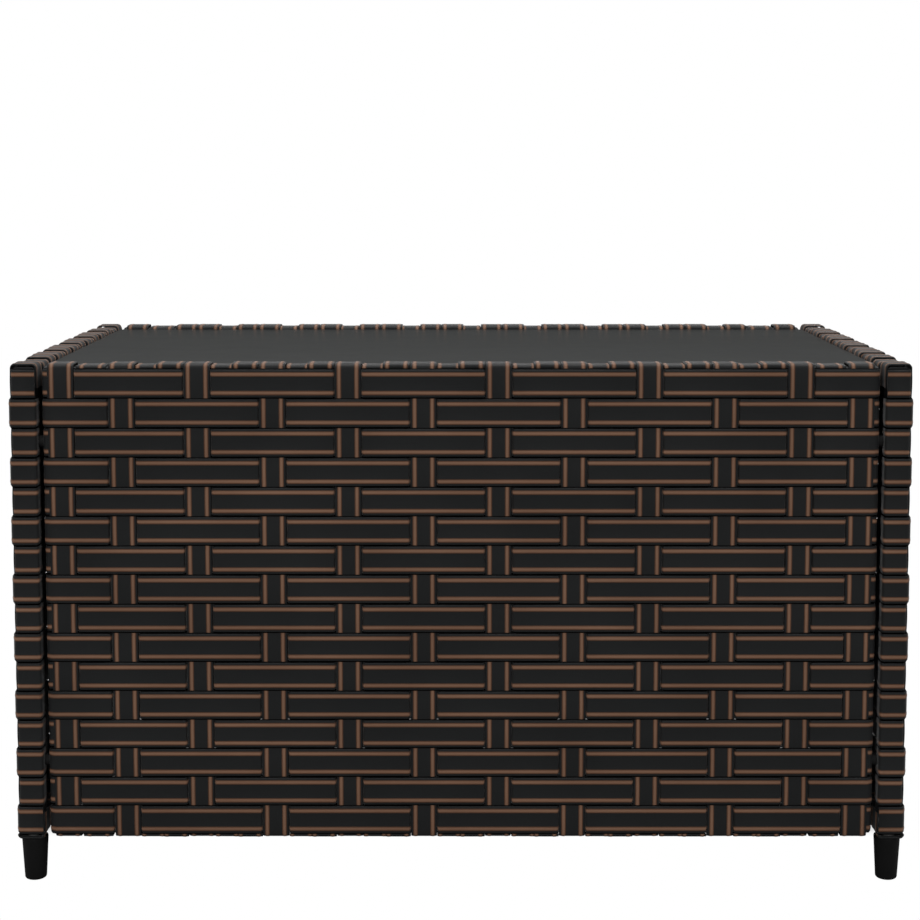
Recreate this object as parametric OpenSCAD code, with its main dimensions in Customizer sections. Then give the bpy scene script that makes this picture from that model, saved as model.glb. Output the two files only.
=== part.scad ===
// Knock-down garden coffee table: two side frames and two long frames of square steel tube,
// each covered by a plain weave of flat plastic strip, bolted together around a glass top.
// Millimetres, +Z up, the floor at z = 0, long side along X, short side along Y.

/* [Overall] */
// Width over the woven side panels
table_w = 600; // [480:10:760]
// Depth over the wrapped corner posts
table_d = 310; // [290:5:330]
// Height of the woven rim above the floor
table_h = 352; // [340:2:364]

/* [Steel frame] */
// Side of the square tube
tube = 14; // [13:1:15]
// Wall thickness of the tube
tube_wall = 1.2; // [1:0.1:1.5]
// How far the long frames stand back from the post fronts
long_setback = 4; // [3.5:0.25:4.5]
// Clear gap between a corner post and the upright bolted to it
joint_gap = 5.8; // [5.6:0.1:6.4]

/* [Weave] */
// Thickness of the flat strip
strip_t = 1.2; // [1:0.05:1.25]
// Width of the strips that run along the panels
weaver_w = 19.4; // [17:0.1:19.4]
// Width of the strips that run up the panels
stake_w = 17.4; // [16:0.2:18]
// Height from one row of weave to the next
row_pitch = 19.76; // [19.5:0.02:20]
// Number of rows
rows = 16; // [14:1:16]
// Spacing of the stakes along a panel
stake_pitch = 50; // [48:1:52]

/* [Glass] */
// Thickness of the glass
glass_t = 5; // [4:0.5:6]
// Depth of the glass face below the rim
glass_recess = 3.1; // [2.6:0.1:5]
// Corner radius of the glass
glass_corner_r = 5; // [2:0.5:12]
// Thickness of a glass pad
pad_t = 2.5; // [2:0.1:3]
// Diameter of a glass pad
pad_d = 20; // [12:1:30]

/* [Feet] */
// Diameter at the top of a foot
foot_top_d = 17.7; // [15:0.1:19]
// Diameter at the floor
foot_bottom_d = 14.6; // [12:0.1:17]
// Diameter of the threaded stud
stud_d = 8; // [6:1:8]
// Length of the stud above the foot
stud_len = 27; // [22:1:36]

/* [Hidden] */
$fn = 48;

// Weave layers, counted outwards from the tube's face: weaver behind, stake, weaver in front
strip_gap = 0.05;
layer = strip_t + strip_gap;
weave_t = 3 * layer;
stake_clear = 0.8;
slope_len = 5.6;
hook_len = tube - 3;
end_stake_inset = 4.2;

// Side frames: tube centres
side_x = table_w / 2 - weave_t - tube / 2;
post_y = table_d / 2 - layer - tube / 2;
side_end = post_y + tube / 2;
side_inner = side_x - tube / 2;

// Long frames: tube centres and half length
long_y = post_y - long_setback;
long_end = side_inner - joint_gap;
upright_x = long_end - tube / 2;
long_face = long_y + tube / 2;
long_inner = long_y - tube / 2;

// Heights
binding_t = 2 * layer;
top_rail_z = table_h - binding_t - tube / 2;
weave_top_gap = 3.6;
row0_z = table_h - weave_top_gap - weaver_w / 2;
rail_drop = 3.1;
bottom_rail_z = row0_z - (rows - 1) * row_pitch - rail_drop;
top_rail_top = top_rail_z + tube / 2;
top_rail_under = top_rail_z - tube / 2;
base_rail_top = bottom_rail_z + tube / 2;
base_rail_under = bottom_rail_z - tube / 2;
base_z = base_rail_under - binding_t;

// Stakes along the long panels: an even count at the pitch, and one over each upright
long_pairs = floor((upright_x - 0.7 * stake_pitch) / stake_pitch + 0.5);
long_run = [for (i = [-long_pairs : long_pairs - 1]) (i + 0.5) * stake_pitch];
end_stake_x = upright_x - end_stake_inset;
long_stakes = concat([-end_stake_x], long_run, [end_stake_x]);

// Stakes along the side panels: an odd count at the pitch, and one over each post
side_pairs = floor((post_y - 0.8 * stake_pitch) / stake_pitch);
side_run = [for (i = [-side_pairs : side_pairs]) i * stake_pitch];
end_stake_y = post_y - end_stake_inset;
side_stakes = concat([-end_stake_y], side_run, [end_stake_y]);

// Wraps that fill the rails between the stakes
wrap_gap = 0.2;
wrap_max_w = 18;

// Panel bolts: M5 through the uprights into rivet nuts in the posts
bolt_r = 2.5;
bolt_len = 30;
bolt_rows = [2, rows - 3];
bolt_y = (post_y - tube / 2 + long_face) / 2;
head_r = 4.2;
head_h = 5;
socket_r = 2.3;
socket_depth = 3;
washer_r = 4.7;
washer_t = 1;
nut_r = 3.6;
nut_flange_r = 4.75;
nut_flange_t = 0.8;
nut_len = 11;
spacer_r = 4;
thread_clear = 0.05;

// Glass and its supports
glass_clear = 0.5;
glass_half_x = side_inner - binding_t - glass_clear;
glass_half_y = long_inner - binding_t - glass_clear;
glass_top_z = table_h - glass_recess;
glass_under_z = glass_top_z - glass_t;
bar_x = table_w / 4;
bar_top_z = glass_under_z - pad_t;
bar_z = bar_top_z - tube / 2;
bracket_t = 2;
bracket_w = 20;
bracket_reach = 20;
bar_half = long_inner - binding_t - 0.4;
pad_y = table_d / 4;
pad_stem_r = 2.5;
pad_stem_len = 6;
screw_r = 2;
screw_head_r = 3.8;
screw_head_h = 2.4;
screw_len = 10;
screw_y = long_inner - 14;

// Feet
foot_h = base_z - 0.1;
foot_round_r = 1.6;
foot_y = table_d / 2 - foot_top_d / 2 - 0.1;
foot_nut_len = 11;
foot_nut_r = 5.4;
foot_nut_flange_r = 6.6;
foot_nut_flange_t = 1;
stud_clear = 0.05;
stud_in_foot = 20;

steel_colour = "#2b2b2d";
strip_colour = "#22252a";
glass_colour = "#44484a";
plastic_colour = "#151515";
zinc_colour = "silver";

// ---- Helpers ----

// Places a side-panel part made for the left side on the left or the right
module on_side(right) {
    rotate([0, 0, right ? 180 : 0]) children();
}

// Places a long-panel part made for the front on the front or the back
module on_long(back) {
    rotate([0, 0, back ? 180 : 0]) children();
}

// Square tube along Z, centred on the axis, from z = low to z = high
module tube_z(low, high) {
    inner = tube - 2 * tube_wall;
    translate([0, 0, low])
        difference() {
            translate([-tube / 2, -tube / 2, 0]) cube([tube, tube, high - low]);
            translate([-inner / 2, -inner / 2, -1]) cube([inner, inner, high - low + 2]);
        }
}

// Square tube along Y, centred on the origin, half is half its length
module tube_y(half) {
    rotate([90, 0, 0]) tube_z(-half, half);
}

// Square tube along X, centred on the origin, half is half its length
module tube_x(half) {
    rotate([0, 90, 0]) tube_z(-half, half);
}

// Cylinder along X from x = low to x = high
module rod_x(r, low, high) {
    translate([low, 0, 0]) rotate([0, 90, 0]) cylinder(r = r, h = high - low);
}

// Children at each panel bolt, with +X pointing out through the post
module at_bolts() {
    for (back = [0, 1], turn = [0, 1], row = bolt_rows)
        mirror([0, back, 0])
            mirror([turn, 0, 0])
                translate([0, -bolt_y, row_z(row)]) children();
}

// Children at each corner, on the foot's axis
module at_corners() {
    for (x = [-side_x, side_x], y = [-foot_y, foot_y]) translate([x, y, 0]) children();
}

function row_z(i) = row0_z - i * row_pitch;

// ---- Weave outlines, in a plan with u along the panel and v outwards from the tube's face ----

// A stake shows in the rows whose parity matches its own
function weaver_behind(i, stake) = (i + stake) % 2 == 0;
function weaver_v(i, stake) = weaver_behind(i, stake) ? strip_gap : 2 * layer + strip_gap;

// A weaver's slope on one side of a stake that shows, from its run behind to its run in front
function slope(at, side, lift) =
    let (low = [at + side * (stake_w / 2 + stake_clear), strip_gap + lift],
         high = [low[0] + side * slope_len, 2 * layer + strip_gap + lift])
    side < 0 ? [high, low] : [low, high];

// One face of a weaver from end to end, at a height lift above its inner face
function weaver_face(i, stakes, half, lift) = let (last = len(stakes) - 1) concat(
    [[-half, weaver_v(i, 0) + lift]],
    [for (s = [0 : last], side = [-1, 1])
        if (weaver_behind(i, s) && !(s == 0 && side < 0) && !(s == last && side > 0))
            each slope(stakes[s], side, lift)],
    [[half, weaver_v(i, last) + lift]]
);

function backwards(list) = [for (k = [len(list) - 1 : -1 : 0]) list[k]];

module weaver_outline(i, stakes, half) {
    polygon(concat(
        weaver_face(i, stakes, half, strip_t),
        backwards(weaver_face(i, stakes, half, 0))
    ));
}

// The first and last rows have no hook, because the end stakes' legs are there
function hooked(i, hook) = i == 0 || i == rows - 1 ? 0 : hook;

// A weaver's end turned in over the tube's side, with a hook behind the tube if hook is above 0.
// It is a solid of its own, a hair away from the weaver's run
module turned_end(i, stake, half, hook) {
    top = weaver_v(i, stake) + strip_t;
    inner = half + strip_gap;
    outer = half + layer;
    back = -tube - strip_gap;
    polygon(hook > 0
        ? [[inner, top], [outer, top], [outer, back - strip_t], [outer - hook, back - strip_t],
           [outer - hook, back], [inner, back]]
        : [[inner, top], [outer, top], [outer, back], [inner, back]]
    );
}

// ---- Stakes and wraps, in a section with v outwards from the tube's face and z up ----

// A stake up the panel, over the top rail and under the bottom rail, each with a leg inside
module stake_section() {
    out = layer + strip_gap;
    low = base_rail_under - layer - strip_t;
    high = top_rail_top + layer + strip_t;
    back = -tube - layer;
    polygon([
        [out + strip_t, low], [out + strip_t, high], [back, high], [back, top_rail_under],
        [back + strip_t, top_rail_under], [back + strip_t, high - strip_t], [out, high - strip_t],
        [out, low + strip_t], [back + strip_t, low + strip_t], [back + strip_t, base_rail_top],
        [back, base_rail_top], [back, low]
    ]);
}

// A wrap over a rail's far side, its inner side and its near side; the weave covers the fourth.
// far is the height of the face away from the panel, near the height of the face towards it
module wrap_section(far, near, thick, closed) {
    up = far > near ? 1 : -1;
    back = -tube - strip_gap;
    far_in = far + up * strip_gap;
    far_out = far_in + up * thick;
    near_in = near - up * strip_gap;
    near_out = near_in - up * strip_t;
    lip = strip_gap + strip_t;
    polygon(closed
        ? [[lip, far_in], [lip, far_out], [back - thick, far_out], [back - thick, near_out],
           [-strip_gap, near_out], [-strip_gap, near_in], [back, near_in], [back, far_in]]
        : [[lip, far_in], [lip, far_out], [back - thick, far_out], [back - thick, near],
           [back, near], [back, far_in]]
    );
}

// Fills between two stakes: [centre, width, thickness] for each wrap
function fills_between(a, b) =
    let (space = b - a - stake_w, count = space > wrap_max_w + 6 ? 2 : 1,
         width = min(wrap_max_w, (space - (count + 1) * wrap_gap) / count))
    [for (k = [0 : count - 1])
        [count == 1 ? (a + b) / 2 : a + stake_w / 2 + wrap_gap + width / 2 + k * (width + wrap_gap),
         width, k == 0 ? strip_t : 2 * strip_t]];

function fills(stakes) = [for (s = [0 : len(stakes) - 2]) each fills_between(stakes[s], stakes[s + 1])];

// ---- Panels as seen from outside: u to the right along +X, v towards -Y, face at y = -face ----

module upright_section(at, width, face) {
    translate([at - width / 2, -face, 0])
        rotate([90, 0, 90]) linear_extrude(height = width) mirror([1, 0]) children();
}

module weaver_rows(stakes, half, face, hook) {
    for (i = [0 : rows - 1])
        translate([0, -face, row_z(i) - weaver_w / 2])
            linear_extrude(height = weaver_w)
                mirror([0, 1]) {
                    weaver_outline(i, stakes, half);
                    turned_end(i, len(stakes) - 1, half, hooked(i, hook));
                    mirror([1, 0]) turned_end(i, 0, half, hooked(i, hook));
                }
}

module panel_stakes(stakes, face) {
    for (at = stakes) upright_section(at, stake_w, face) stake_section();
}

module panel_wraps(stakes, face, far, near, closed_to) {
    for (wrap = fills(stakes))
        upright_section(wrap[0], wrap[1], face)
            wrap_section(far, near, wrap[2], abs(wrap[0]) + wrap[1] / 2 < closed_to);
}

// ---- Steel frames ----

module side_post(right, back) {
    color(steel_colour)
        difference() {
            translate([right ? side_x : -side_x, back ? post_y : -post_y, 0])
                tube_z(base_rail_top, top_rail_under);
            at_bolts() rod_x(nut_r, side_inner - 1, side_inner + tube_wall + 1);
        }
}

module side_rail(right, z) {
    color(steel_colour)
        difference() {
            translate([right ? side_x : -side_x, 0, z]) tube_y(side_end);
            if (z < table_h / 2) {
                at_corners() translate([0, 0, z - tube]) cylinder(r = foot_nut_r, h = tube);
                at_corners() translate([0, 0, z]) cylinder(r = stud_d / 2 + 1, h = tube);
            }
        }
}

module long_rail(back, z) {
    color(steel_colour) translate([0, back ? long_y : -long_y, z]) tube_x(long_end);
}

module long_upright(back, right) {
    color(steel_colour)
        difference() {
            translate([right ? upright_x : -upright_x, back ? long_y : -long_y, 0])
                tube_z(base_rail_top, top_rail_under);
            at_bolts() rod_x(bolt_r + 0.2, upright_x - tube, upright_x + tube);
        }
}

// ---- Weave ----

module long_stake_set(back) {
    color(strip_colour) on_long(back) panel_stakes(long_stakes, long_face);
}

module side_stake_set(right) {
    color(strip_colour)
        difference() {
            on_side(right) rotate([0, 0, -90]) panel_stakes(side_stakes, side_x + tube / 2);
            at_corners() cylinder(r = foot_nut_flange_r + 0.2, h = base_rail_under);
        }
}

module long_weaver_set(back) {
    color(strip_colour)
        difference() {
            on_long(back) weaver_rows(long_stakes, long_end, long_face, 0);
            at_bolts() rod_x(spacer_r + 0.3, long_end - 1, long_end + layer + 1);
        }
}

module side_weaver_set(right) {
    color(strip_colour)
        difference() {
            on_side(right) rotate([0, 0, -90])
                weaver_rows(side_stakes, side_end, side_x + tube / 2, hook_len);
            at_bolts() rod_x(nut_flange_r + 0.3, side_inner - layer - 1, side_inner);
        }
}

module long_binding(back, top) {
    color(strip_colour)
        difference() {
            on_long(back)
                panel_wraps(long_stakes, long_face,
                    top ? top_rail_top : base_rail_under,
                    top ? top_rail_under : base_rail_top, upright_x - tube / 2);
            if (top) bracket_space();
        }
}

module side_binding(right, top) {
    color(strip_colour)
        on_side(right) rotate([0, 0, -90])
            panel_wraps(side_stakes, side_x + tube / 2,
                top ? top_rail_top : base_rail_under,
                top ? top_rail_under : base_rail_top, post_y - tube / 2);
}

// ---- Glass and its supports ----

module glass_bar(right) {
    color(steel_colour)
        difference() {
            translate([right ? bar_x : -bar_x, 0, bar_z]) tube_y(bar_half);
            for (y = [-pad_y, pad_y])
                translate([right ? bar_x : -bar_x, y, bar_z]) cylinder(r = pad_stem_r, h = tube);
            for (y = [-screw_y, screw_y])
                translate([right ? bar_x : -bar_x, y, bar_z - tube]) cylinder(r = screw_r, h = tube);
        }
}

// Children at each end of each glass bar, with -Y pointing out to the rail
module at_bar_ends() {
    for (x = [-bar_x, bar_x], back = [0, 1]) translate([x, 0, 0]) mirror([0, back, 0]) children();
}

module bracket_angle(grow) {
    under = bar_z - tube / 2 - bracket_t;
    translate([-bracket_w / 2 - grow, -long_inner - grow, under - grow])
        cube([bracket_w + 2 * grow, bracket_t + 2 * grow, tube + bracket_t + 2 * grow]);
    translate([-bracket_w / 2 - grow, -long_inner, under - grow])
        cube([bracket_w + 2 * grow, bracket_reach, bracket_t + 2 * grow]);
}

module bracket_space() {
    at_bar_ends() bracket_angle(0.3);
}

module bar_brackets() {
    color(steel_colour)
        at_bar_ends()
            difference() {
                bracket_angle(0);
                translate([0, -screw_y, bar_z - tube]) cylinder(r = screw_r + 0.2, h = tube);
            }
}

module bar_screws() {
    under = bar_z - tube / 2 - bracket_t;
    color(zinc_colour)
        at_bar_ends()
            translate([0, -screw_y, under - screw_head_h])
                difference() {
                    union() {
                        cylinder(r = screw_head_r, h = screw_head_h);
                        cylinder(r = screw_r, h = screw_head_h + screw_len);
                    }
                    translate([-screw_head_r * 0.6, -0.5, -1])
                        cube([screw_head_r * 1.2, 1, 1 + screw_head_h / 2]);
                    translate([-0.5, -screw_head_r * 0.6, -1])
                        cube([1, screw_head_r * 1.2, 1 + screw_head_h / 2]);
                }
}

module glass_pads() {
    color("#3a3a3a")
        for (x = [-bar_x, bar_x], y = [-pad_y, pad_y])
            translate([x, y, bar_top_z]) {
                rotate_extrude()
                    polygon([[0, 0], [pad_d / 2 - 2, 0], [pad_d / 2, pad_t - 0.8],
                             [pad_d / 2, pad_t], [0, pad_t]]);
                translate([0, 0, -pad_stem_len]) cylinder(r = pad_stem_r, h = pad_stem_len);
            }
}

module glass_outline() {
    x = glass_half_x - glass_corner_r;
    y = glass_half_y - glass_corner_r;
    square([2 * glass_half_x, 2 * y], center = true);
    square([2 * x, 2 * glass_half_y], center = true);
    for (sx = [-x, x], sy = [-y, y]) translate([sx, sy]) circle(r = glass_corner_r);
}

module glass_top() {
    color(glass_colour)
        translate([0, 0, glass_under_z]) linear_extrude(height = glass_t) glass_outline();
}

// ---- Plugs and fasteners ----

// Plug in the open end of a tube that runs along Y, flush with the end at y = -half
module plug_y(half) {
    inner = tube - 2 * tube_wall;
    plug_len = 9;
    translate([-inner / 2, -half, -inner / 2]) cube([inner, plug_len, inner]);
}

module side_rail_plugs() {
    color(plastic_colour)
        for (x = [-side_x, side_x], z = [bottom_rail_z, top_rail_z], back = [0, 1])
            translate([x, 0, z])
                mirror([0, back, 0])
                    difference() {
                        plug_y(side_end);
                        if (z == bottom_rail_z)
                            translate([0, -foot_y, -tube]) cylinder(r = foot_nut_r, h = 2 * tube);
                    }
}

module long_rail_plugs() {
    color(plastic_colour)
        for (y = [-long_y, long_y], z = [bottom_rail_z, top_rail_z], turn = [0, 1])
            translate([0, y, z]) mirror([turn, 0, 0]) rotate([0, 0, 90]) plug_y(long_end);
}

module panel_bolts() {
    head_low = upright_x - tube / 2 - washer_t - head_h;
    color(zinc_colour)
        at_bolts()
            difference() {
                union() {
                    rod_x(head_r, head_low, head_low + head_h);
                    rod_x(bolt_r, head_low + head_h - 0.5, head_low + head_h + bolt_len);
                }
                translate([head_low - 1, 0, 0])
                    rotate([0, 90, 0]) cylinder(r = socket_r, h = 1 + socket_depth, $fn = 6);
            }
}

module bolt_washers() {
    face = upright_x - tube / 2;
    color(zinc_colour)
        at_bolts()
            difference() {
                rod_x(washer_r, face - washer_t, face);
                rod_x(bolt_r + 0.2, face - washer_t - 1, face + 1);
            }
}

module panel_spacers() {
    color(plastic_colour)
        at_bolts()
            difference() {
                rod_x(spacer_r, long_end, side_inner - nut_flange_t);
                rod_x(bolt_r + 0.2, long_end - 1, side_inner);
            }
}

module rivet_nuts() {
    color(zinc_colour)
        at_bolts()
            difference() {
                union() {
                    rod_x(nut_flange_r, side_inner - nut_flange_t, side_inner);
                    rod_x(nut_r, side_inner - nut_flange_t, side_inner + nut_len);
                }
                rod_x(bolt_r + thread_clear, side_inner - 2, side_inner + nut_len + 1);
            }
}

module foot_nuts() {
    color(zinc_colour)
        at_corners()
            translate([0, 0, base_rail_under])
                difference() {
                    union() {
                        translate([0, 0, -foot_nut_flange_t])
                            cylinder(r = foot_nut_flange_r, h = foot_nut_flange_t);
                        translate([0, 0, -foot_nut_flange_t])
                            cylinder(r = foot_nut_r, h = foot_nut_flange_t + foot_nut_len);
                    }
                    translate([0, 0, -tube])
                        cylinder(r = stud_d / 2 + stud_clear, h = 2 * tube);
                }
}

// ---- Feet ----

// Tapered foot with a rounded lower edge, bored for its stud
module foot(right, back) {
    flank = (foot_top_d - foot_bottom_d) / 2;
    color(plastic_colour)
        translate([right ? side_x : -side_x, back ? foot_y : -foot_y, 0])
            difference() {
                rotate_extrude()
                    polygon(concat(
                        [[0, 0]],
                        [for (a = [-90 : 15 : 0])
                            [foot_bottom_d / 2 - foot_round_r + foot_round_r * cos(a),
                             foot_round_r + foot_round_r * sin(a)]],
                        [[foot_bottom_d / 2 + flank * 0.97, foot_h - 0.8],
                         [foot_bottom_d / 2 + flank - 0.6, foot_h], [0, foot_h]]
                    ));
                translate([0, 0, foot_h - stud_in_foot])
                    cylinder(r = stud_d / 2, h = stud_in_foot + 1);
            }
}

// Threaded stud moulded into the foot
module stud(right, back) {
    color(zinc_colour)
        translate([right ? side_x : -side_x, back ? foot_y : -foot_y, foot_h - stud_in_foot])
            cylinder(r = stud_d / 2, h = stud_in_foot + stud_len);
}

// ---- Nodes ----

side_post(false, false);  // left_front_post
side_post(false, true);  // left_back_post
side_rail(false, top_rail_z);  // left_top_rail
side_rail(false, bottom_rail_z);  // left_bottom_rail
side_post(true, false);  // right_front_post
side_post(true, true);  // right_back_post
side_rail(true, top_rail_z);  // right_top_rail
side_rail(true, bottom_rail_z);  // right_bottom_rail
long_rail(false, top_rail_z);  // front_top_rail
long_rail(false, bottom_rail_z);  // front_bottom_rail
long_upright(false, false);  // front_left_upright
long_upright(false, true);  // front_right_upright
long_rail(true, top_rail_z);  // back_top_rail
long_rail(true, bottom_rail_z);  // back_bottom_rail
long_upright(true, false);  // back_left_upright
long_upright(true, true);  // back_right_upright
long_stake_set(false);  // front_stakes
long_stake_set(true);  // back_stakes
side_stake_set(false);  // left_stakes
side_stake_set(true);  // right_stakes
long_weaver_set(false);  // front_weavers
long_weaver_set(true);  // back_weavers
side_weaver_set(false);  // left_weavers
side_weaver_set(true);  // right_weavers
long_binding(false, true);  // front_rim_binding
long_binding(true, true);  // back_rim_binding
side_binding(false, true);  // left_rim_binding
side_binding(true, true);  // right_rim_binding
long_binding(false, false);  // front_base_binding
long_binding(true, false);  // back_base_binding
side_binding(false, false);  // left_base_binding
side_binding(true, false);  // right_base_binding
glass_bar(false);  // left_glass_bar
glass_bar(true);  // right_glass_bar
bar_brackets();
bar_screws();
glass_pads();
glass_top();
side_rail_plugs();
long_rail_plugs();
panel_bolts();
bolt_washers();
panel_spacers();
rivet_nuts();
foot_nuts();
foot(false, false);  // front_left_foot
foot(true, false);  // front_right_foot
foot(false, true);  // back_left_foot
foot(true, true);  // back_right_foot
stud(false, false);  // front_left_stud
stud(true, false);  // front_right_stud
stud(false, true);  // back_left_stud
stud(true, true);  // back_right_stud
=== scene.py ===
import math
import random
from collections import namedtuple

import bmesh
import bpy
import numpy as np
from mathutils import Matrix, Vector


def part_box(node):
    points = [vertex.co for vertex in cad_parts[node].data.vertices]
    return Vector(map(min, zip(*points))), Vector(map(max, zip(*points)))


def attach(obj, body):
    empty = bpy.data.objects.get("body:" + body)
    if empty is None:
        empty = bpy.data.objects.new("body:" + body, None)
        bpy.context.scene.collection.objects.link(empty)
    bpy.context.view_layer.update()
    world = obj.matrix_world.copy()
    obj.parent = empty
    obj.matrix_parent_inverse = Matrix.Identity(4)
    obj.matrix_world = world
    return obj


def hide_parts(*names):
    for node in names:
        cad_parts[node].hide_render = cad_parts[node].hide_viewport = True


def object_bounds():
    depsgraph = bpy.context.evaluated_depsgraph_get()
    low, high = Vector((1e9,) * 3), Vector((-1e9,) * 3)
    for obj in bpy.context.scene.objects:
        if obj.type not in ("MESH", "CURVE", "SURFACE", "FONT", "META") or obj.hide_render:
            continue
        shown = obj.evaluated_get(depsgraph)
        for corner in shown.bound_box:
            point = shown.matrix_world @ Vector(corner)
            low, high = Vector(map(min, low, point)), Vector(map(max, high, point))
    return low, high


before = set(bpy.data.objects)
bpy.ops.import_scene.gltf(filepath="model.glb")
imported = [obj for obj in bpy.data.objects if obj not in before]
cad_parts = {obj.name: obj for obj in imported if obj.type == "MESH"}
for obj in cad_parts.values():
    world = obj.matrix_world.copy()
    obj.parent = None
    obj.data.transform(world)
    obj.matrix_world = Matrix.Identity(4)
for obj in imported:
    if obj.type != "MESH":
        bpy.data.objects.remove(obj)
cad_low, cad_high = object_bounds()
random.seed(31)

MM = 0.001
UP = Vector((0, 0, 1))

# ---------------------------------------------------------------- sizes, from the frame

rail_low, rail_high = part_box("front_top_rail")
base_low, base_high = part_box("front_bottom_rail")
post_low, post_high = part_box("right_front_post")
side_rail_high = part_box("right_top_rail")[1]
weave_low, weave_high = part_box("front_weavers")
stake_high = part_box("front_stakes")[1]
side_stake_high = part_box("right_stakes")[1]

TUBE = post_high.x - post_low.x
ROWS = 16
WEAVER_W = 19.4 * MM
STAKE_W = 17.4 * MM
STAKE_PITCH = 50.0 * MM
ROW_PITCH = (weave_high.z - weave_low.z - WEAVER_W) / (ROWS - 1)
ROW0_Z = weave_high.z - WEAVER_W / 2
POST_HOOK = 11.0 * MM

# A wall: u runs along it and v points out of it. face is how far its rails' outer side is from the
# table's middle, half is half the wall's length, stakes are its stakes' places along u, and hook is
# how far its rows turn back along the inside of the posts.
Panel = namedtuple("Panel", "name u v face half stakes hook")
long_end_stake = stake_high.x - STAKE_W / 2
side_end_stake = side_stake_high.y - STAKE_W / 2
long_stakes = [-long_end_stake] + [(i + 0.5) * STAKE_PITCH for i in range(-5, 5)] + [long_end_stake]
side_stakes = [-side_end_stake] + [i * STAKE_PITCH for i in range(-2, 3)] + [side_end_stake]
long_wall = (-rail_low.y, rail_high.x, long_stakes, 0.0)
side_wall = (post_high.x, side_rail_high.y, side_stakes, POST_HOOK)
PANELS = [
    Panel("front", Vector((1, 0, 0)), Vector((0, -1, 0)), *long_wall),
    Panel("back", Vector((-1, 0, 0)), Vector((0, 1, 0)), *long_wall),
    Panel("left", Vector((0, -1, 0)), Vector((-1, 0, 0)), *side_wall),
    Panel("right", Vector((0, 1, 0)), Vector((1, 0, 0)), *side_wall),
]


def row_z(row):
    """The middle height of a row of the weave; row 0 is the top one."""
    return ROW0_Z - row * ROW_PITCH


def stake_shows(row, stake):
    return (row + stake) % 2 == 0


# ---------------------------------------------------------------- materials

STRIP_UV = "along_strip"
SHEEN_ROUGHNESS = 0.35


def shader_input(m, name):
    return m.node_tree.nodes["Principled BSDF"].inputs[name]


def new_material(name, colour, roughness, **sockets):
    m = bpy.data.materials.new(name)
    m.use_nodes = True
    shader_input(m, "Base Color").default_value = (*colour, 1)
    shader_input(m, "Roughness").default_value = roughness
    for socket, value in sockets.items():
        shader_input(m, socket.replace("_", " ")).default_value = value
    return m


def node(m, kind, **values):
    """A new node of m, a material or a world; values name its properties and its sockets."""
    n = m.node_tree.nodes.new(kind)
    for key, value in values.items():
        if hasattr(n, key):
            setattr(n, key, value)
        else:
            n.inputs[key.replace("_", " ")].default_value = value
    return n


def link(m, source, target):
    m.node_tree.links.new(source, target)


def math_node(m, operation, first, second=None):
    """A math node's output; first is a socket, second a socket or a number."""
    n = node(m, "ShaderNodeMath", operation=operation)
    link(m, first, n.inputs[0])
    if isinstance(second, float):
        n.inputs[1].default_value = second
    elif second is not None:
        link(m, second, n.inputs[1])
    return n.outputs[0]


def noise(m, scale, detail=3.0, stretch=(1, 1, 1), uv=None):
    """A noise in object space, or along the strip where uv names its map."""
    if uv:
        place = node(m, "ShaderNodeUVMap", uv_map=uv).outputs[0]
    else:
        place = node(m, "ShaderNodeTexCoord").outputs["Object"]
    mapping = node(m, "ShaderNodeMapping")
    mapping.inputs["Scale"].default_value = stretch
    texture = node(m, "ShaderNodeTexNoise", Scale=scale, Detail=detail)
    link(m, place, mapping.inputs["Vector"])
    link(m, mapping.outputs[0], texture.inputs["Vector"])
    return texture.outputs["Fac"]


def spread(m, value, low, high):
    """The noise's usual 0.3 to 0.7 spread over low to high."""
    n = node(m, "ShaderNodeMapRange")
    n.inputs["From Min"].default_value = 0.3
    n.inputs["From Max"].default_value = 0.7
    n.inputs["To Min"].default_value = low
    n.inputs["To Max"].default_value = high
    link(m, value, n.inputs["Value"])
    return n.outputs["Result"]


def tint(m, value, dark, light):
    """Base colour between dark and light."""
    n = node(m, "ShaderNodeMix", data_type="RGBA")
    n.inputs[6].default_value = (*dark, 1)
    n.inputs[7].default_value = (*light, 1)
    link(m, spread(m, value, 0, 1), n.inputs[0])
    link(m, n.outputs[2], shader_input(m, "Base Color"))


def roughen(m, value, low, high):
    link(m, spread(m, value, low, high), shader_input(m, "Roughness"))


def bump(m, value, distance, strength=1.0):
    n = node(m, "ShaderNodeBump", Strength=strength, Distance=distance)
    link(m, value, n.inputs["Height"])
    link(m, n.outputs[0], shader_input(m, "Normal"))


def strip_material(name, dark, light, roughness, level=0.45, sheen=0.10):
    """Extruded plastic strip: slow colour drift along it, and fine draw lines down its length."""
    m = new_material(name, light, roughness[1], Specular_IOR_Level=level, Sheen_Weight=sheen,
                     Sheen_Roughness=SHEEN_ROUGHNESS)
    tint(m, noise(m, 14, 4), dark, light)
    streaks = noise(m, 1.0, 2, (25, 2600, 1), STRIP_UV)
    roughen(m, streaks, *roughness)
    bump(m, streaks, 0.02 * MM, 0.6)
    return m


def powder_coat():
    m = new_material("black_powder_coat", (0.012, 0.012, 0.013), 0.45)
    grain = noise(m, 900, 2)
    tint(m, noise(m, 30), (0.009, 0.009, 0.010), (0.015, 0.015, 0.016))
    roughen(m, grain, 0.38, 0.52)
    bump(m, grain, 0.05 * MM, 0.5)
    return m


def zinc():
    m = new_material("zinc_plate", (0.60, 0.60, 0.58), 0.3, Metallic=1.0)
    patches = noise(m, 220, 4)
    tint(m, patches, (0.50, 0.50, 0.48), (0.70, 0.70, 0.68))
    roughen(m, patches, 0.25, 0.42)
    bump(m, noise(m, 1500, 2), 0.02 * MM, 0.4)
    return m


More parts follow.
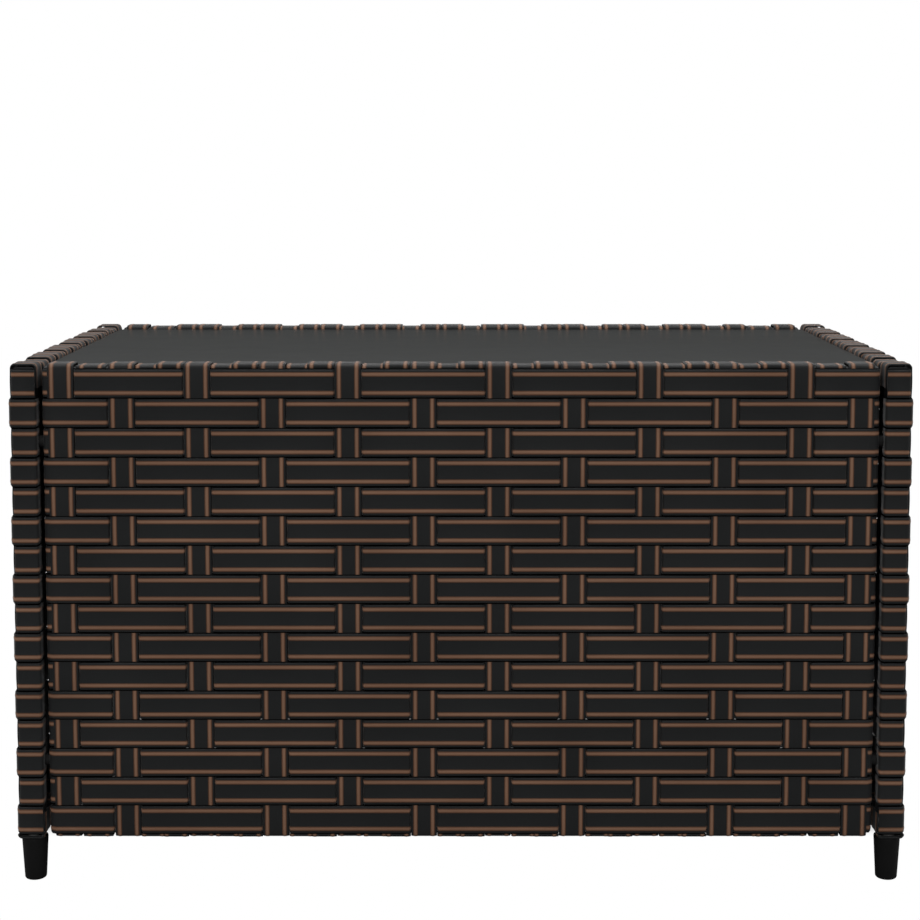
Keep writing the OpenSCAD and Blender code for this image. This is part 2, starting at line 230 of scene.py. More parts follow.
def moulded(name, dark, light, grain_scale=1200):
    m = new_material(name, light, 0.5, Specular_IOR_Level=0.3)
    tint(m, noise(m, 60), dark, light)
    grain = noise(m, grain_scale, 3)
    roughen(m, grain, 0.42, 0.58)
    bump(m, grain, 0.03 * MM, 0.5)
    return m


def black_glass():
    """Opaque dark glass with a satin face."""
    m = new_material("black_glass", (0.0134, 0.0152, 0.0145), 0.3, IOR=1.5, Specular_IOR_Level=0.2)
    tint(m, noise(m, 6), (0.0128, 0.0146, 0.0139), (0.0134, 0.0152, 0.0145))
    roughen(m, noise(m, 25, 4), 0.28, 0.32)
    return m


BODY, LINE, LINE_EDGE, LIP_SHADE = range(4)
STRIP_MATERIALS = [
    strip_material("strip_body", (0.0098, 0.0104, 0.0107), (0.0126, 0.0133, 0.0136), (0.46, 0.58)),
    strip_material("strip_line", (0.175, 0.092, 0.056), (0.232, 0.128, 0.080), (0.48, 0.60)),
    strip_material("strip_line_edge", (0.078, 0.034, 0.017), (0.104, 0.047, 0.025), (0.48, 0.60)),
    # The groove walls and lips between rows: near black, a painted shade, not the strip's own colour.
    strip_material("strip_lip_painted_shade", (0.0015, 0.0015, 0.0016), (0.0025, 0.0025, 0.0026), (0.6, 0.7),
                   level=0.1, sheen=0.0),
]
powder = powder_coat()
plated = zinc()
black_plastic = moulded("black_plastic", (0.008, 0.008, 0.008), (0.013, 0.013, 0.013))
foot_plastic = moulded("foot_plastic", (0.0038, 0.0038, 0.0038), (0.0055, 0.0055, 0.0055))
pad_rubber = moulded("pad_rubber", (0.03, 0.03, 0.03), (0.05, 0.05, 0.05), 700)
glass_material = black_glass()

# ---------------------------------------------------------------- mesh helpers


def new_object(name, vertices, faces, materials, slots=None, uvs=None, smooth_angle=None):
    """A smooth-shaded mesh object; edges that turn by smooth_angle or more stay sharp."""
    mesh = bpy.data.meshes.new(name)
    mesh.from_pydata(vertices, [], faces)
    for m in materials:
        mesh.materials.append(m)
    if slots is not None:
        mesh.polygons.foreach_set("material_index", slots)
    if uvs is not None:
        layer = mesh.uv_layers.new(name=STRIP_UV)
        loops = np.zeros(len(mesh.loops), np.int64)
        mesh.loops.foreach_get("vertex_index", loops)
        layer.data.foreach_set("uv", np.asarray(uvs, np.float32)[loops].ravel())
    obj = bpy.data.objects.new(name, mesh)
    bpy.context.scene.collection.objects.link(obj)
    bm = bmesh.new()
    bm.from_mesh(mesh)
    bmesh.ops.recalc_face_normals(bm, faces=bm.faces)
    if smooth_angle is not None:
        for edge in bm.edges:
            edge.smooth = len(edge.link_faces) < 2 or edge.calc_face_angle(0) < smooth_angle
    for face in bm.faces:
        face.smooth = True
    bm.to_mesh(mesh)
    bm.free()
    return obj


def finish_piece(obj, body, slot, *replaced):
    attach(obj, body)
    if replaced:
        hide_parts(*replaced)


def rounded_path(corners, steps=5):
    """A polyline of (x, y, radius) corners with each corner of radius above 0 turned into an arc."""
    out = []
    for k, (x, y, r) in enumerate(corners):
        here = Vector((x, y))
        if r <= 0 or k in (0, len(corners) - 1):
            out.append(here)
            continue
        back = (Vector(corners[k - 1][:2]) - here).normalized()
        on = (Vector(corners[k + 1][:2]) - here).normalized()
        half = back.angle(on) / 2
        cut = r / math.tan(half)
        centre = here + (back + on).normalized() * (r / math.sin(half))
        start = here + back * cut - centre
        turn = start.angle_signed(here + on * cut - centre)
        for j in range(steps + 1):
            a = -turn * j / steps
            c, s = math.cos(a), math.sin(a)
            out.append(centre + Vector((start.x * c - start.y * s, start.x * s + start.y * c)))
    return out


# Half widths of a raised line's crest and of its flanks, and heights over the strip's middle, in mm.
CREST, FLANK = 0.85, 1.5
MIDDLE_HEIGHT, CREST_HEIGHT, SHOULDER_HEIGHT, BACK_HEIGHT = 0.48, 0.57, 0.36, -0.55


def strip_section(width, line_at, lip=0.0, lip_height=-0.42):
    """Closed cross-section of a strip in metres, as (across, height, slot of the face after the point).

    Each half has a raised line, line_at mm from the middle. lip, in metres, is a thin edge on each side,
    lip_height mm from the middle, where woven rows are pressed together; with a lip, the strip's side down
    into the groove and the lip are painted near black, a painted shade in the groove."""
    w = width / 2 / MM
    lip /= MM
    # With a lip, the strip's side into the groove and the lip take the near-black painted-shade slot.
    edge = LIP_SHADE if lip else BODY
    half = [
        (line_at - FLANK, 0.46, LINE_EDGE), (line_at - CREST, CREST_HEIGHT, LINE), (line_at, 0.64, LINE),
        (line_at + CREST, CREST_HEIGHT, LINE_EDGE), (line_at + FLANK, 0.43, BODY),
        (w - 0.45, SHOULDER_HEIGHT, BODY), (w - 0.1, 0.22, BODY), (w, -0.08, edge),
        (w, lip_height + 0.08, edge), (w + lip, lip_height, edge),
        (w + lip - 0.2, lip_height - 0.11, BODY),
    ]
    mirrored = [(-a, h) for a, h, _ in reversed(half)]
    slots = [s for _, _, s in reversed(half)][1:] + [BODY]
    points = [(a, h, s) for (a, h), s in zip(mirrored, slots)]
    points.append((0.0, MIDDLE_HEIGHT, BODY))
    points += half
    points.append((0.0, BACK_HEIGHT, BODY))
    return [(a * MM, h * MM, s) for a, h, s in points]


class StripSet:
    """Collects ribbons that share one object."""

    def __init__(self):
        self.vertices, self.faces, self.slots, self.uvs = [], [], [], []

    def add(self, centres, normals, across, section):
        """A ribbon along centres, with its face towards normals and its width along across."""
        first, n = len(self.vertices), len(section)
        offset = random.uniform(0, 10)
        run = 0.0
        for k, (point, normal) in enumerate(zip(centres, normals)):
            run += (point - centres[k - 1]).length if k else 0.0
            for a, h, _ in section:
                self.vertices.append(point + across * a + normal * h)
                self.uvs.append((offset + run, a))
        for k in range(len(centres) - 1):
            row = first + k * n
            for j in range(n):
                j2 = (j + 1) % n
                self.faces.append((row + j, row + j2, row + n + j2, row + n + j))
                self.slots.append(section[j][2])
        last = first + (len(centres) - 1) * n
        for cap in (range(first, first + n), range(last, last + n)):
            self.faces.append(tuple(cap))
            self.slots.append(BODY)

    def build(self, name):
        return new_object(name, self.vertices, self.faces, STRIP_MATERIALS, self.slots, self.uvs)


def path_normals(path, sign):
    """The normals of a plane path, to the left of its run where sign is 1."""
    normals = []
    for k in range(len(path)):
        along = (path[min(k + 1, len(path) - 1)] - path[max(k - 1, 0)]).normalized()
        normals.append(Vector((-along.y, along.x)) * sign)
    return normals


# ---------------------------------------------------------------- weave

# How far a strip's middle layer is from the tube under it: a weaver's over a stake, under a stake
# and on the post at the end of a row, any strip's where it is pulled tight, and a stake's on the
# wall and on the rim.
OVER = 3.05 * MM
UNDER = 0.62 * MM
CORNER_OVER = 1.2 * MM
EDGE = 0.60 * MM
STAKE_V = 1.90 * MM
STAKE_TOP = 1.80 * MM

# How far a stake waves: out where it shows, and in where a weaver covers it.
STAKE_WAVE = 0.32 * MM

# Along a weaver, from a stake's middle: half the flat under a stake, and the reach of the flat over
# one, at the end of a row and elsewhere. SLOPE is the run from flat to flat.
PLATEAU = 9.3 * MM
CORNER_RISE = 8.0 * MM
OVER_REACH = 12.0 * MM
SLOPE = 1.0 * MM
SLOPE_STEPS = 6

# Radii of bends: a row's on a post's outer and inner edges, and a stake's on the bottom rail's
# inner and outer edges and on the top rail.
POST_BEND = 1.7 * MM
HOOK_BEND = 1.6 * MM
BASE_BEND_IN = 2.2 * MM
BASE_BEND_OUT = 2.4 * MM
RIM_BEND = 2.6 * MM

# How far handwork strays from its place.
ROW_DEPTH_STRAY = 0.03 * MM
ROW_HEIGHT_STRAY = 0.02 * MM
STAKE_STRAY = 0.15 * MM

# Rows leave a groove between their faces. Their lips overlap in it, at two heights in turn, in mm. The
# groove's walls and the lips are painted near black as painted shade.
GROOVE = 1.3 * MM
LIP_OVERLAP = 0.1 * MM
LIP_HEIGHTS = (-0.42, -0.27)

# Places of the raised lines, in mm from the middle of a strip.
WEAVER_LINE = 6.2
STAKE_LINE = 5.8
WRAP_LINE = 6.0

STAKE_STEPS_PER_ROW = 6
weaver_sections = [strip_section(ROW_PITCH - GROOVE, WEAVER_LINE, GROOVE / 2 + LIP_OVERLAP, height)
                   for height in LIP_HEIGHTS]
stake_section = strip_section(STAKE_W, STAKE_LINE)


def stray(distance):
    return random.uniform(-distance, distance)


def slope(stake_u, side, lift):
    """The S-shaped run beside a stake that shows, where a weaver dives under it."""
    points = []
    for k in range(SLOPE_STEPS + 1):
        t = k / SLOPE_STEPS
        ease = t * t * (3 - 2 * t)
        points.append((stake_u + side * (PLATEAU + SLOPE * t), UNDER + (OVER + lift - UNDER) * ease, 0))
    return points if side > 0 else points[::-1]


def weaver_path(panel, row):
    """A weaver's middle line in plan, (u, v): in from one end of the panel, over and under, and in again."""
    levels = [UNDER if stake_shows(row, s) else OVER for s in range(len(panel.stakes))]
    corner_v = [v if v == UNDER else CORNER_OVER for v in (levels[0], levels[-1])]
    out = panel.half + EDGE
    inside = -TUBE - EDGE
    lift = stray(ROW_DEPTH_STRAY)
    path = []
    hook = 0 if row in (0, ROWS - 1) else panel.hook
    hook_bend = HOOK_BEND if hook else 0
    if hook:
        path.append((-out + hook, inside, 0))
    path += [(-out, inside, hook_bend), (-out, corner_v[0], POST_BEND)]
    for s, (u, v) in enumerate(zip(panel.stakes, levels)):
        if v == OVER:
            before = CORNER_RISE if s == 0 else OVER_REACH
            after = CORNER_RISE if s + 1 == len(levels) else OVER_REACH
            path += [(u + x, v + lift, 0) for x in (-before, -before / 2, 0, after / 2, after)]
            continue
        if s > 0:
            path += slope(u, -1, lift)
        path += [(u + side * PLATEAU / 2, UNDER, 0) for side in (-1, 1)]
        if s + 1 < len(levels):
            path += slope(u, 1, lift)
    path += [(out, corner_v[1], POST_BEND), (out, inside, hook_bend)]
    if hook:
        path.append((out - hook, inside, 0))
    return rounded_path(path)


def weavers(panel):
    strips = StripSet()
    for row in range(ROWS):
        path = weaver_path(panel, row)
        z = row_z(row) + stray(ROW_HEIGHT_STRAY)
        centres = [panel.u * p.x + panel.v * (panel.face + p.y) + UP * z for p in path]
        normals = [panel.u * n.x + panel.v * n.y for n in path_normals(path, 1)]
        strips.add(centres, normals, UP, weaver_sections[row % 2])
    rows = strips.build(f"{panel.name}_woven_rows")
    finish_piece(rows, "frame", "wicker_strip", f"{panel.name}_weavers")


def stake_wave(stake, z):
    """How far a stake stands out from its middle layer: out where it shows, in under a weaver."""
    row = round((ROW0_Z - z) / ROW_PITCH)
    if row < 0 or row >= ROWS:
        return 0.0
    lift = STAKE_WAVE * math.cos(math.pi * (z - row_z(row)) / ROW_PITCH)
    return max(lift, 0.0) if stake_shows(row, stake) else -max(lift, 0.0)


def stakes(panel):
    """Round the bottom rail, up the wall in a wave and over the top rail."""
    strips = StripSet()
    inside = -TUBE - EDGE
    under, top = base_low.z - STAKE_V, rail_high.z + STAKE_TOP
    steps = ROWS * STAKE_STEPS_PER_ROW
    high, low = row_z(0) + ROW_PITCH / 2, row_z(ROWS - 1) - ROW_PITCH / 2
    for s, u in enumerate(panel.stakes):
        path = [(inside, base_high.z, 0), (inside, under, BASE_BEND_IN), (STAKE_V, under, BASE_BEND_OUT)]
        for k in range(1, steps):
            z = low + (high - low) * k / steps
            path.append((STAKE_V + stake_wave(s, z), z, 0))
        path += [(STAKE_V, top, RIM_BEND), (inside, top, RIM_BEND), (inside, rail_low.z, 0)]
        path = rounded_path(path)
        at = u + stray(STAKE_STRAY)
        centres = [panel.u * at + panel.v * (panel.face + p.x) + UP * p.y for p in path]
        normals = [panel.v * n.x + UP * n.y for n in path_normals(path, -1)]
        strips.add(centres, normals, panel.u, stake_section)
    uprights = strips.build(f"{panel.name}_stake_strips")
    finish_piece(uprights, "frame", "wicker_strip", f"{panel.name}_stakes")


# ---------------------------------------------------------------- rim and base wraps

# Along a rail: a wrap's greatest width, the gap beside it, the space that takes two of them, and
# how much wider than its place the second one is, which overlaps the first.
WRAP_MAX = 20.0 * MM
WRAP_GAP = 0.2 * MM
TWO_WRAP_SPACE = 26.0 * MM
RAISED_EXTRA = 2.0 * MM

# How far a wrap's middle layer is from the rail: a raised one's on the rim, those under the base,
# and the base wraps' front leg.
RIM_RAISED_LIFT = 1.78 * MM
BASE_LIFT = 1.7 * MM
BASE_RAISED_LIFT = 1.9 * MM
BASE_FACE = 2.4 * MM

# Radii of a wrap's bends: on a rail's outer edge above and below, then on its two inner edges.
RIM_WRAP_BEND = 1.4 * MM
BASE_WRAP_BEND = 1.7 * MM
INNER_BEND = 2.2 * MM
LAST_BEND = 1.6 * MM

# A wrap starts this far into the woven rows, and ends this far short of the rail's outer side.
WRAP_OVERLAP = 0.1 * MM
TAIL = 0.5 * MM
WRAP_STEP = 5.0 * MM

# The turn at a side wall's bottom corners. Its line is set in from its edge, in mm.
END_FACE = 2.2 * MM
END_INNER = 1.2 * MM
END_BEND = 2.6 * MM
END_LINE_INSET = 1.8


def fills(panel):
    """The wraps between the stakes, as (centre, width, raised)."""
    for a, b in zip(panel.stakes, panel.stakes[1:]):
        space = b - a - STAKE_W
        count = 2 if space > TWO_WRAP_SPACE else 1
        width = min(WRAP_MAX, (space - (count + 1) * WRAP_GAP) / count)
        for k in range(count):
            start = a + STAKE_W / 2 + WRAP_GAP
            at = (a + b) / 2 if count == 1 else start + width / 2 + k * (width + WRAP_GAP)
            yield at, width, k == 1


def in_short_steps(path):
    out = []
    for p, q in zip(path, path[1:]):
        parts = max(1, math.ceil((q - p).length / WRAP_STEP))
        out += [p.lerp(q, j / parts) for j in range(parts)]
    return out + [path[-1]]


def rim_wrap(raised):
    """Round the top rail, from the first row's upper edge to the panel's inner face."""
    lift = RIM_RAISED_LIFT if raised else EDGE
    top, start = rail_high.z + lift, row_z(0) + ROW_PITCH / 2 + WRAP_OVERLAP
    return [(lift, start, 0), (lift, top, RIM_WRAP_BEND), (-TUBE - lift, top, INNER_BEND),
            (-TUBE - lift, rail_low.z - EDGE, LAST_BEND), (-TAIL, rail_low.z - EDGE, 0)]


def base_wrap(raised):
    """Round the bottom rail; its front leg stands out as far as the row above it."""
    lift = BASE_RAISED_LIFT if raised else BASE_LIFT
    under, start = base_low.z - lift, row_z(ROWS - 1) - ROW_PITCH / 2 - WRAP_OVERLAP
    return [(BASE_FACE, start, 0), (BASE_FACE, under, BASE_WRAP_BEND), (-TUBE - lift, under, INNER_BEND),
            (-TUBE - lift, base_high.z + EDGE, LAST_BEND), (-TAIL, base_high.z + EDGE, 0)]


def end_wrap():
    """The narrow turn that closes the weave under a side frame's bottom rail, at the post."""
    under, start = base_low.z - BASE_RAISED_LIFT, row_z(ROWS - 1) - ROW_PITCH / 2 - WRAP_OVERLAP
    inner = -TUBE - END_INNER
    return [(END_FACE, start, 0), (END_FACE, under, END_BEND), (inner, under, END_BEND), (inner, start, 0)]


def bindings(panel, top):
    """The wraps of a wall's top rail or bottom rail."""
    strips = StripSet()
    sign = -1 if top else 1

    def wind(at, path, section):
        path = in_short_steps(rounded_path(path))
        centres = [panel.u * at + panel.v * (panel.face + p.x) + UP * p.y for p in path]
        normals = [panel.v * n.x + UP * n.y for n in path_normals(path, sign)]
        strips.add(centres, normals, panel.u, section)

    for at, width, raised in fills(panel):
        if raised:
            at, width = at - RAISED_EXTRA / 2, width + RAISED_EXTRA
        wind(at, rim_wrap(raised) if top else base_wrap(raised), strip_section(width, WRAP_LINE))
    if panel.hook and not top:
        end = panel.half + CORNER_OVER
        width = end - (panel.stakes[-1] + STAKE_W / 2 + WRAP_GAP)
        for side in (-1, 1):
            at = side * (end - width / 2)
            wind(at, end_wrap(), strip_section(width, width / 2 / MM - END_LINE_INSET))
    kind = "rim" if top else "base"
    wraps = strips.build(f"{panel.name}_{kind}_wraps")
    finish_piece(wraps, "frame", "wicker_strip", f"{panel.name}_{kind}_binding")


for panel in PANELS:
    weavers(panel)
    stakes(panel)
    bindings(panel, True)
    bindings(panel, False)

# ---------------------------------------------------------------- steel tubes

TUBE_ROUND = 2.0 * MM
TUBE_WALL = 1.2 * MM


def rounded_square(half, r, steps=5):
    points = []
    for quarter in range(4):
        for k in range(steps + 1):
            a = (quarter + k / steps) * math.pi / 2
            cx = (half - r) * (1 if quarter in (0, 3) else -1)
            cy = (half - r) * (1 if quarter in (0, 1) else -1)
            points.append((cx + r * math.cos(a), cy + r * math.sin(a)))
    return points


def steel_tube(name):
    """A welded tube with rounded edges and a hollow bore, in the place of its CAD node."""
    low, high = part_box(name)
    size = high - low
    axis = max(range(3), key=lambda k: size[k])
    across = [k for k in range(3) if k != axis]
    middle = (low + high) / 2
    outer = rounded_square(TUBE / 2, TUBE_ROUND)
    inner = rounded_square(TUBE / 2 - TUBE_WALL, TUBE_ROUND - TUBE_WALL)
    vertices, faces, n = [], [], len(outer)
    for end in (low[axis], high[axis]):
        for ring in (outer, inner):
            for a, b in ring:
                point = Vector()
                point[axis] = end
                point[across[0]] = middle[across[0]] + a
                point[across[1]] = middle[across[1]] + b
                vertices.append(point)
    for j in range(n):
        j2 = (j + 1) % n
        faces += [
            (j, j2, 2 * n + j2, 2 * n + j), (n + j, n + j2, 3 * n + j2, 3 * n + j),
            (j, j2, n + j2, n + j), (2 * n + j, 2 * n + j2, 3 * n + j2, 3 * n + j),
        ]
    tube = new_object(f"{name}_tube", vertices, faces, [powder], smooth_angle=math.radians(40))
    finish_piece(tube, "frame", "steel_tube", name)


for side in ("left", "right"):
    for part in ("front_post", "back_post", "top_rail", "bottom_rail", "glass_bar"):
        steel_tube(f"{side}_{part}")
for end in ("front", "back"):
    for part in ("top_rail", "bottom_rail", "left_upright", "right_upright"):
        steel_tube(f"{end}_{part}")

# ---------------------------------------------------------------- glass

GLASS_CORNER = 5.0 * MM
POLISH = 0.9 * MM


def glass_ring(half_x, half_y, r, z, steps=8):
    """A rectangle's outline at height z, with its corners rounded to radius r."""
    ring = []
    for quarter, (sx, sy) in enumerate(((1, 1), (-1, 1), (-1, -1), (1, -1))):
        for k in range(steps + 1):
            a = (quarter + k / steps) * math.pi / 2
            ring.append((sx * (half_x - r) + r * math.cos(a), sy * (half_y - r) + r * math.sin(a), z))
    return ring


def glass_sheet():
    """The glass with its ground and rounded edges."""
    low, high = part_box("glass_top")
    half_x, half_y = high.x, high.y
    profile = [(POLISH * (1 - math.sin(a)), low.z + POLISH * (1 - math.cos(a)))
               for a in (math.pi / 2 * k / 4 for k in range(5))]
    profile += [(inset, low.z + high.z - z) for inset, z in reversed(profile)]
    vertices, faces, n = [], [], 0
    for inset, z in profile:
        ring = glass_ring(half_x - inset, half_y - inset, GLASS_CORNER - inset, z)
        n = len(ring)
        vertices += ring
    for k in range(len(profile) - 1):
        for j in range(n):
            j2 = (j + 1) % n
            faces.append((k * n + j, k * n + j2, (k + 1) * n + j2, (k + 1) * n + j))
    faces += [tuple(range(n)), tuple(range(len(vertices) - n, len(vertices)))]
    sheet = new_object("tempered_glass_sheet", vertices, faces, [glass_material],
                       smooth_angle=math.radians(25))
    finish_piece(sheet, "glass", "black_glass", "glass_top")


glass_sheet()

# ---------------------------------------------------------------- feet


def lathe(name, profile, centre, material, segments=64, smooth_angle=math.radians(35)):
    """Turns (radius, z) points about the vertical through centre; the first and last are on the axis."""
    vertices = [Vector((centre.x, centre.y, profile[0][1]))]
    for r, z in profile[1:-1]:
        for j in range(segments):
            a = 2 * math.pi * j / segments
            vertices.append(Vector((centre.x + r * math.cos(a), centre.y + r * math.sin(a), z)))
    vertices.append(Vector((centre.x, centre.y, profile[-1][1])))
    faces, rings, last = [], len(profile) - 2, len(vertices) - 1
    for j in range(segments):
        j2 = (j + 1) % segments
        faces.append((0, 1 + j2, 1 + j))
        for k in range(rings - 1):
            a, b = 1 + k * segments, 1 + (k + 1) * segments
            faces.append((a + j, a + j2, b + j2, b + j))
        faces.append((last, last - segments + j, last - segments + j2))
    return new_object(name, vertices, faces, [material], smooth_angle=smooth_angle)


# The sole's radius, its edge's rounding, the width and chamfer of the rim it stands on, and the
# depth of the hollow inside that rim. FOOT_SHOULDER is the height of the rounding at the top.
SOLE_R = 7.3 * MM
SOLE_EDGE = 1.6 * MM
SOLE_RIM = 2.2 * MM
SOLE_CHAMFER = 0.4 * MM
SOLE_HOLLOW = 0.7 * MM
FOOT_SHOULDER = 1.0 * MM


def foot_profile(low, high):
    """Hollow-soled tapered foot: round lower edge, straight flank, small shoulder at the top."""
    top_r, height = (high.x - low.x) / 2, high.z - low.z
    r, inner = SOLE_EDGE, SOLE_R - SOLE_RIM
    profile = [(0, SOLE_HOLLOW), (inner - SOLE_CHAMFER, SOLE_HOLLOW), (inner, 0.0)]
    for k in range(7):
        a = -math.pi / 2 + math.pi / 2 * k / 6
        profile.append((SOLE_R - r + r * math.cos(a), r + r * math.sin(a)))
    for k in range(1, 7):
        t = k / 7
        profile.append((SOLE_R + (top_r - SOLE_R) * t, r + (height - r - FOOT_SHOULDER) * t))
    for inset, drop in ((0, 1), (0.15, 0.5), (0.6, 0.1), (1, 0)):
        profile.append((top_r - inset * FOOT_SHOULDER, height - drop * FOOT_SHOULDER))
    profile.append((0, height))
    return [(x, low.z + z) for x, z in profile]


THREAD_PITCH = 1.25 * MM
THREAD_DEPTH = 0.6 * MM
RINGS_PER_PITCH = 6

# The length of the stud's point, and how much of its radius the point loses.
POINT = 1.2 * MM
POINT_TAPER = 0.12


def threaded_stud(name, node_name, body, segments=24):
    """The foot's stud with a helical thread all along, and a tapered point at its upper end."""
    low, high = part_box(node_name)
    centre, r = (low + high) / 2, (high.x - low.x) / 2
    count = int((high.z - low.z) / (THREAD_PITCH / RINGS_PER_PITCH))
    vertices, faces = [], []
    for k in range(count + 1):
        z = low.z + (high.z - low.z) * k / count
        taper = 1 - POINT_TAPER * max(0.0, 1 - (high.z - z) / POINT)
        for j in range(segments):
            turn = j / segments
            wave = abs(((z - low.z) / THREAD_PITCH - turn) % 1.0 * 2 - 1)
            radius = (r - THREAD_DEPTH * wave) * taper
            a = 2 * math.pi * turn
            vertices.append((centre.x + radius * math.cos(a), centre.y + radius * math.sin(a), z))
    for k in range(count):
        for j in range(segments):
            j2 = (j + 1) % segments
            row = k * segments
            faces.append((row + j, row + j2, row + segments + j2, row + segments + j))
    faces += [tuple(range(segments)), tuple(range(count * segments, (count + 1) * segments))]
    stud = new_object(name, vertices, faces, [plated], smooth_angle=math.radians(50))
    finish_piece(stud, body, "zinc_steel", node_name)


for end in ("front", "back"):
    for side in ("left", "right"):
        body = f"{end}_{side}_foot"
        low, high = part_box(body)
        foot = lathe(f"{body}_moulding", foot_profile(low, high), (low + high) / 2, foot_plastic)
        finish_piece(foot, body, "foot_plastic", body)
        threaded_stud(f"{end}_{side}_threaded_stud", f"{end}_{side}_stud", body)

# ---------------------------------------------------------------- CAD nodes that stay

KEPT = {
    "bar_brackets": powder,
    "bar_screws": plated,
    "glass_pads": pad_rubber,
    "side_rail_plugs": black_plastic,
    "long_rail_plugs": black_plastic,
    "panel_bolts": plated,
    "bolt_washers": plated,
    "panel_spacers": black_plastic,
    "rivet_nuts": plated,
    "foot_nuts": plated,
}
for name, material in KEPT.items():
    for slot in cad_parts[name].material_slots:
        slot.material = material

# ---------------------------------------------------------------- studio

WHITE = (1, 1, 1, 1)
FLOOR_REACH = 12.0
FLOOR_GREY = 0.16
SHADE_GREY = 0.30

# The lit part of the floor, a darker grey patch that is a painted shadow on which real shadows also fall, in
# metres: a rectangle about a middle behind the table's, wider towards the back, and the width of its soft
# edge.
SHADE_HALF_X = 0.285
SHADE_WIDENS = 0.25
SHADE_HALF_Y = 0.147
SHADE_BACK = 0.117
SHADE_EDGE = 0.045

# The dome's strength near the horizon and overhead, and the heights between which it changes.
HORIZON_GREY, DOME_GREY = 0.09, 0.32
HORIZON_TOP, DOME_START = 0.08, 0.40


def ranged(m, value, low, high, to_low=0.0, to_high=1.0):
    """value taken smoothly from low..high to to_low..to_high."""
    n = node(m, "ShaderNodeMapRange", interpolation_type="SMOOTHSTEP")
    for name, number in (("From Min", low), ("From Max", high), ("To Min", to_low), ("To Max", to_high)):
        n.inputs[name].default_value = number
    link(m, value, n.inputs["Value"])
    return n.outputs["Result"]


def mixed(m, factor, first, second):
    n = node(m, "ShaderNodeMixShader")
    for k, source in enumerate((factor, first, second)):
        link(m, source, n.inputs[k])
    return n.outputs[0]


def studio_floor():
    """Plain floor: white to the camera, but under and just behind the table only lit, and a darker grey: a
    painted shadow on which real shadows also fall.

    Other rays find it grey, so that it doesn't brighten the table."""
    mesh = bpy.data.meshes.new("studio_floor")
    corners = [(x * FLOOR_REACH, y * FLOOR_REACH, 0) for x, y in ((-1, -1), (1, -1), (1, 1), (-1, 1))]
    mesh.from_pydata(corners, [], [(0, 1, 2, 3)])
    floor = bpy.data.objects.new("studio_floor", mesh)
    bpy.context.scene.collection.objects.link(floor)
    m = bpy.data.materials.new("pale_floor")
    m.use_nodes = True
    m.node_tree.nodes.clear()
    out = node(m, "ShaderNodeOutputMaterial")
    camera_ray = node(m, "ShaderNodeLightPath").outputs["Is Camera Ray"]
    grey = node(m, "ShaderNodeBsdfDiffuse", Color=(FLOOR_GREY, FLOOR_GREY, FLOOR_GREY, 1))
    # shade: the darker grey of the painted shadow patch, which the lights shade as well.
    shade = node(m, "ShaderNodeBsdfDiffuse", Color=(SHADE_GREY, SHADE_GREY, SHADE_GREY, 1))
    glow = node(m, "ShaderNodeEmission", Color=WHITE, Strength=1.0)
    place = node(m, "ShaderNodeSeparateXYZ")
    link(m, node(m, "ShaderNodeTexCoord").outputs["Object"], place.inputs[0])
    widened = math_node(m, "MULTIPLY", place.outputs["Y"], SHADE_WIDENS)
    inside_x = math_node(m, "SUBTRACT", math_node(m, "ABSOLUTE", place.outputs["X"]), SHADE_HALF_X)
    reach_x = math_node(m, "SUBTRACT", inside_x, widened)
    from_middle = math_node(m, "SUBTRACT", place.outputs["Y"], SHADE_BACK)
    reach_y = math_node(m, "SUBTRACT", math_node(m, "ABSOLUTE", from_middle), SHADE_HALF_Y)
    beyond = ranged(m, math_node(m, "MAXIMUM", reach_x, reach_y), 0.0, SHADE_EDGE)
    seen = mixed(m, beyond, shade.outputs[0], glow.outputs[0])
    link(m, mixed(m, camera_ray, grey.outputs[0], seen), out.inputs["Surface"])
    mesh.materials.append(m)


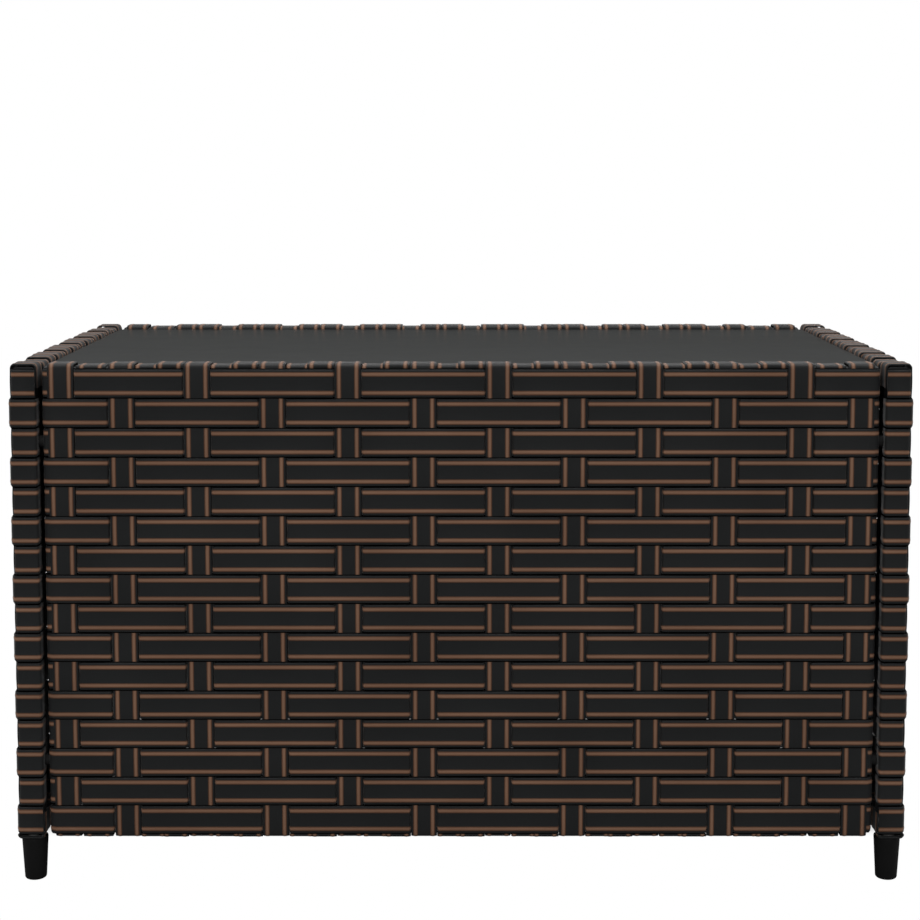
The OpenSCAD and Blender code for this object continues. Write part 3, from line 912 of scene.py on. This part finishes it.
def studio_world():
    """White to the camera; to other rays a dome that is dim near the horizon and brighter overhead."""
    world = bpy.data.worlds.new("studio")
    bpy.context.scene.world = world
    world.use_nodes = True
    world.node_tree.nodes.clear()
    out = node(world, "ShaderNodeOutputWorld")
    camera_ray = node(world, "ShaderNodeLightPath").outputs["Is Camera Ray"]
    towards = node(world, "ShaderNodeSeparateXYZ")
    link(world, node(world, "ShaderNodeTexCoord").outputs["Generated"], towards.inputs[0])
    strength = ranged(world, towards.outputs["Z"], HORIZON_TOP, DOME_START, HORIZON_GREY, DOME_GREY)
    dome = node(world, "ShaderNodeBackground", Color=WHITE)
    link(world, strength, dome.inputs["Strength"])
    backdrop = node(world, "ShaderNodeBackground", Color=WHITE)
    link(world, mixed(world, camera_ray, dome.outputs[0], backdrop.outputs[0]), out.inputs["Surface"])


def soft_light(name, at, aim, width, height, power, reflected=False):
    """A rectangular area light at a place, turned to aim; only a reflected one shows in gloss."""
    data = bpy.data.lights.new(name, "AREA")
    data.shape = "RECTANGLE"
    data.size, data.size_y, data.energy = width, height, power
    lamp = bpy.data.objects.new(name, data)
    lamp.location = at
    lamp.rotation_euler = (Vector(aim) - Vector(at)).to_track_quat("-Z", "Y").to_euler()
    lamp.visible_glossy = reflected
    bpy.context.scene.collection.objects.link(lamp)


studio_floor()
studio_world()
table_middle = (0, 0, 0.18)
soft_light("overhead_softbox", (0, 0, 2.6), table_middle, 2.4, 2.0, 30, reflected=True)
soft_light("front_softbox", (-0.5, -3.0, 1.1), table_middle, 2.6, 1.6, 45)
soft_light("back_softbox", (0.8, 3.0, 1.6), table_middle, 2.2, 1.4, 40)
soft_light("left_softbox", (-3.0, 0.3, 1.4), table_middle, 1.8, 1.4, 35)
soft_light("right_softbox", (3.0, -0.2, 1.4), table_middle, 1.8, 1.4, 35)

# ---------------------------------------------------------------- camera

SENSOR_MM = 36.0
LENS_MM = 70.372
PITCH = math.radians(4.947)
CAMERA_BACK = 1.1786
CAMERA_HEIGHT = 0.4818
SHIFT_X = -0.0011
SHIFT_Y = -0.15
NEAR, FAR = 0.05, 60.0

camera_data = bpy.data.cameras.new("camera")
camera = bpy.data.objects.new("camera", camera_data)
bpy.context.scene.collection.objects.link(camera)
bpy.context.scene.camera = camera
camera_data.sensor_width = SENSOR_MM
camera_data.lens = LENS_MM
camera_data.shift_x = SHIFT_X
camera_data.shift_y = SHIFT_Y
camera_data.clip_start, camera_data.clip_end = NEAR, FAR
camera.location = (0, cad_low[1] - CAMERA_BACK, CAMERA_HEIGHT)
camera.rotation_euler = (math.pi / 2 - PITCH, 0, 0)

bpy.context.scene.view_settings.view_transform = "Standard"
